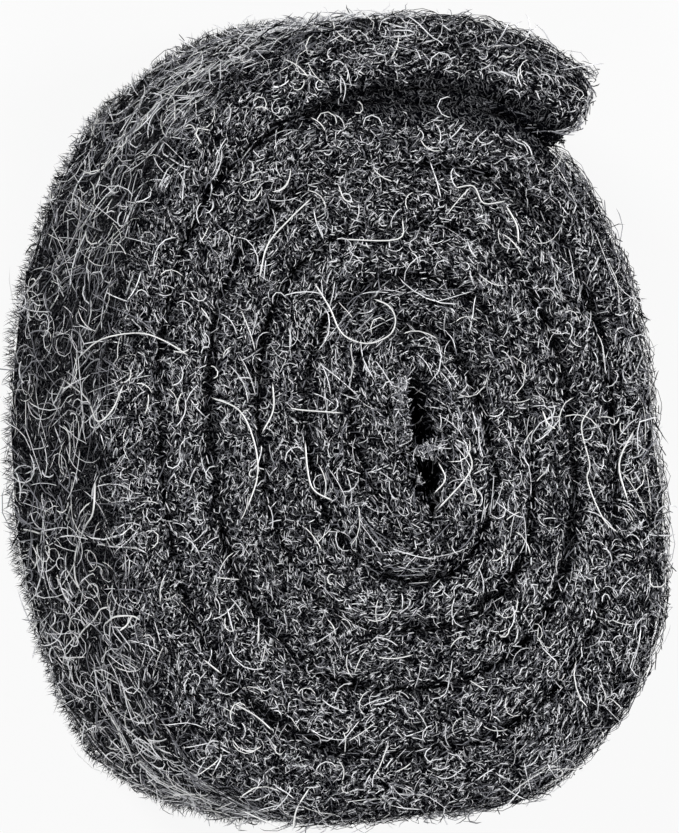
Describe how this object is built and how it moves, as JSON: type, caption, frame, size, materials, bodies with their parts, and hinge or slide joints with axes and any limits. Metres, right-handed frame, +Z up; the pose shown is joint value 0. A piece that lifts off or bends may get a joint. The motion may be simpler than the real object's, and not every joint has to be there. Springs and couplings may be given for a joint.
{
  "type": "steel wool roll",
  "caption": "Loose oval roll of coarse steel wool: one felted strip wound in a spiral round a narrow open eye, with a lifted tail.",
  "frame": {"origin": "on the floor under the middle of the roll's bounding box", "axes": "+Z up along the axis of the roll, +Y along the oval's long way towards the side where the tail lies, +X across the oval"},
  "size_m": [0.099, 0.137, 0.081],
  "materials": {
    "steel_wool": "dark felt of fine steel fibres"
  },
  "bodies": {
    "root": {"wound_strip": "steel_wool"}
  },
  "joints": []
}
